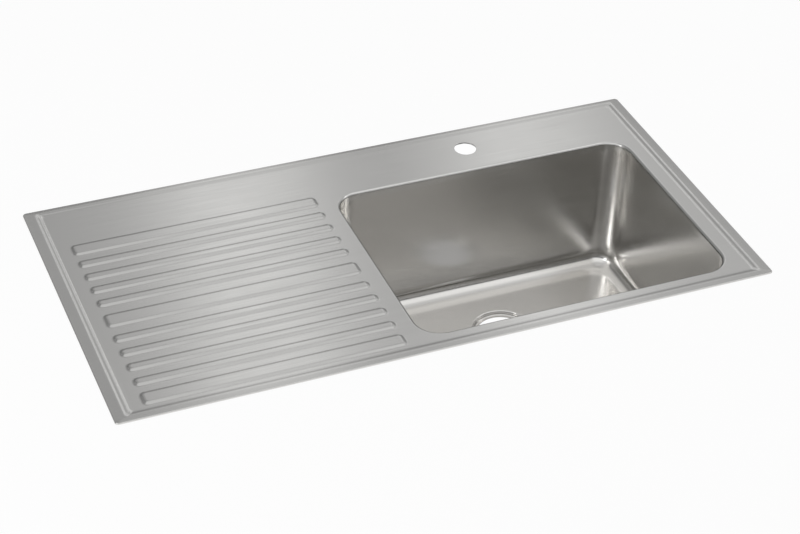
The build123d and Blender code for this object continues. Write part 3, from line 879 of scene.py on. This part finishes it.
def camera_matrix():
    """The camera's axes from its azimuth and elevation, turned about its line of sight by the roll."""
    back = Vector((sin(AZIMUTH) * cos(ELEVATION), -cos(AZIMUTH) * cos(ELEVATION), sin(ELEVATION)))
    right = (-back).cross(UPWARDS).normalized()
    up = back.cross(right)
    rolled_right = cos(ROLL) * right + sin(ROLL) * up
    rolled_up = cos(ROLL) * up - sin(ROLL) * right
    turned = Matrix((rolled_right, rolled_up, back)).transposed()
    return Matrix.Translation(CAMERA_PLACE) @ turned.to_4x4()


lens = bpy.data.cameras.new("camera")
lens.sensor_width = SENSOR
lens.lens = FOCAL_PIXELS * SENSOR / PHOTO_WIDTH
camera = new_object("camera", lens)
camera.matrix_world = camera_matrix()
bpy.context.scene.camera = camera

FLOOR_REACH = 8.0
FLOOR_CORNER = 1.0
FLOOR_DROP = 0.0005
CUTOUT_MARGIN = 0.013
CUTOUT_CORNER = 0.01
outer, _ = rounded_rings(FLOOR_REACH, FLOOR_REACH, FLOOR_CORNER)
inner, _ = rounded_rings(LENGTH - 2 * CUTOUT_MARGIN, DEPTH - 2 * CUTOUT_MARGIN, CUTOUT_CORNER)
plane_points, plane_faces, _ = flat_patch([outer[0], inner[0]], -FLOOR_DROP)
floor_mesh = bpy.data.meshes.new("floor")
floor_mesh.from_pydata(plane_points, [], plane_faces.tolist())
floor = new_object("floor", floor_mesh)

MATT_FLOOR = 0.80
FAINT_FLOOR = 0.20
FLOOR_GLOW = 0.85


def grey(level):
    """A colour with the same level in all three channels."""
    return (level, level, level, 1.0)


def seen_as_background(tree):
    """One for rays that should meet the pale background: the camera's, reflected and transmitted ones."""
    rays = add_node(tree, "ShaderNodeLightPath").outputs
    seen = worked_out(tree, "MAXIMUM", rays["Is Camera Ray"], rays["Is Glossy Ray"])
    return worked_out(tree, "MAXIMUM", seen, rays["Is Transmission Ray"])


paper, tree, output = new_material("pale_floor")
matt = add_node(tree, "ShaderNodeBsdfDiffuse", {"Color": grey(MATT_FLOOR)})
faint = add_node(tree, "ShaderNodeBsdfDiffuse", {"Color": grey(FAINT_FLOOR)})
glow = add_node(tree, "ShaderNodeEmission", {"Color": grey(1.0), "Strength": FLOOR_GLOW})
pale = add_node(tree, "ShaderNodeAddShader", {0: glow.outputs[0], 1: faint.outputs[0]})
upper = add_node(tree, "ShaderNodeMixShader", {
    0: seen_as_background(tree), 1: matt.outputs[0], 2: pale.outputs[0]})
clear = add_node(tree, "ShaderNodeBsdfTransparent")
underside = add_node(tree, "ShaderNodeNewGeometry").outputs["Backfacing"]
both = add_node(tree, "ShaderNodeMixShader", {0: underside, 1: upper.outputs[0], 2: clear.outputs[0]})
tree.links.new(both.outputs[0], output.inputs["Surface"])
floor_mesh.materials.append(paper)

# The studio that the steel reflects. Behind the sink is a wall that lightens up to a bright band, with
# two bright upright panels. In front is a grey room, with a dark band and a bright screen above it.
# Overhead is a plain ceiling, and below the floor's level the inside of the cupboard. The stops are
# (place, level): a place is a direction's height, or its share of the way from left to right.
BACK_LEVELS = ((0.0, 0.32), (0.10, 0.34), (0.30, 0.54), (0.45, 0.64), (0.55, 0.71), (0.572, 0.80),
               (0.60, 0.99), (0.618, 1.0), (0.64, 0.82), (0.67, 0.71), (0.75, 0.66), (1.0, 0.62))
PANEL_LEVELS = ((0.0, 0.28), (0.10, 0.28), (0.265, 0.34), (0.29, 0.22), (0.36, 0.22), (0.42, 0.34),
                (0.585, 0.38), (0.603, 0.43), (0.617, 0.86), (0.632, 0.88), (0.645, 0.54), (0.6525, 0.37),
                (0.664, 0.38), (0.677, 0.60), (0.686, 0.88), (0.698, 0.85), (0.712, 0.50), (0.74, 0.47),
                (1.0, 0.50))
FRONT_LEVELS = ((0.0, 0.44), (0.35, 0.42), (0.46, 0.30), (0.53, 0.08), (0.592, 0.08), (0.632, 0.70),
                (0.70, 0.74), (1.0, 0.70))
FRONT_SIDE_LEVELS = ((0.0, 0.85), (0.25, 0.95), (0.40, 1.0), (1.0, 1.0))
FRONT_BLEND = 0.25
CEILING_LEVEL = 0.46
CEILING_LOW = 0.88
CEILING_HIGH = 0.95
CUPBOARD_LEVEL = 0.32
HORIZON_BLEND = 0.02
STUDIO_STRENGTH = 1.42


def level_curve(tree, value, stops):
    """A smooth curve through (value, level) stops."""
    ramp = add_node(tree, "ShaderNodeValToRGB", {0: value})
    ramp.color_ramp.interpolation = "EASE"
    while len(ramp.color_ramp.elements) < len(stops):
        ramp.color_ramp.elements.new(0.5)
    for element, (place, level) in zip(ramp.color_ramp.elements, stops):
        element.position = place
        element.color = grey(level)
    return ramp.outputs[0]


world = bpy.data.worlds.new("studio")
bpy.context.scene.world = world
world.use_nodes = True
tree = world.node_tree
tree.nodes.clear()
direction = add_node(tree, "ShaderNodeTexCoord").outputs["Generated"]
x, y, z = add_node(tree, "ShaderNodeSeparateXYZ", {0: direction}).outputs
left_to_right = worked_out(tree, "MULTIPLY_ADD", x, 0.5, 0.5)
walls_seen = []
for upright, sideways in ((FRONT_LEVELS, FRONT_SIDE_LEVELS), (BACK_LEVELS, PANEL_LEVELS)):
    walls_seen.append(add_node(tree, "ShaderNodeVectorMath", {
        0: level_curve(tree, z, upright), 1: level_curve(tree, left_to_right, sideways)},
        operation="MULTIPLY").outputs[0])
room = blended(tree, share(tree, y, -FRONT_BLEND, FRONT_BLEND), *walls_seen)
room = blended(tree, share(tree, z, CEILING_LOW, CEILING_HIGH), room, grey(CEILING_LEVEL))
room = blended(tree, share(tree, z, -HORIZON_BLEND, HORIZON_BLEND), grey(CUPBOARD_LEVEL), room)
studio = add_node(tree, "ShaderNodeBackground", {"Color": room, "Strength": STUDIO_STRENGTH})
backdrop = add_node(tree, "ShaderNodeBackground", {"Color": grey(1.0), "Strength": 1.0})
in_camera = add_node(tree, "ShaderNodeLightPath").outputs["Is Camera Ray"]
mixed = add_node(tree, "ShaderNodeMixShader", {
    0: in_camera, 1: studio.outputs[0], 2: backdrop.outputs[0]})
add_node(tree, "ShaderNodeOutputWorld", {"Surface": mixed.outputs[0]})

# Two tall soft boxes stand left and right, a little in front of the sink: they draw the bright upright
# lines in the bowl's corners. A lamp's power is pi times its area times its radiance.
BOX_AZIMUTH = radians(103.0)
BOX_ELEVATION = radians(34.0)
BOX_AWAY = 3.0
BOX_WIDE = 0.35
BOX_TALL = 0.9
LEFT_RADIANCE = 6.5
RIGHT_RADIANCE = 3.5
for side, radiance in ((-1, LEFT_RADIANCE), (1, RIGHT_RADIANCE)):
    lamp = bpy.data.lights.new(f"soft_box_{'left' if side < 0 else 'right'}", "AREA")
    lamp.shape = "RECTANGLE"
    lamp.size = BOX_WIDE
    lamp.size_y = BOX_TALL
    lamp.energy = np.pi * BOX_WIDE * BOX_TALL * radiance
    stand = Vector((side * sin(BOX_AZIMUTH) * cos(BOX_ELEVATION), cos(BOX_AZIMUTH) * cos(BOX_ELEVATION),
                    sin(BOX_ELEVATION)))
    box = new_object(lamp.name, lamp)
    box.location = Vector((BOWL_X, BOWL_Y, 0.0)) + BOX_AWAY * stand
    box.rotation_euler = stand.to_track_quat("Z", "Y").to_euler()

bpy.context.scene.view_settings.view_transform = "Standard"
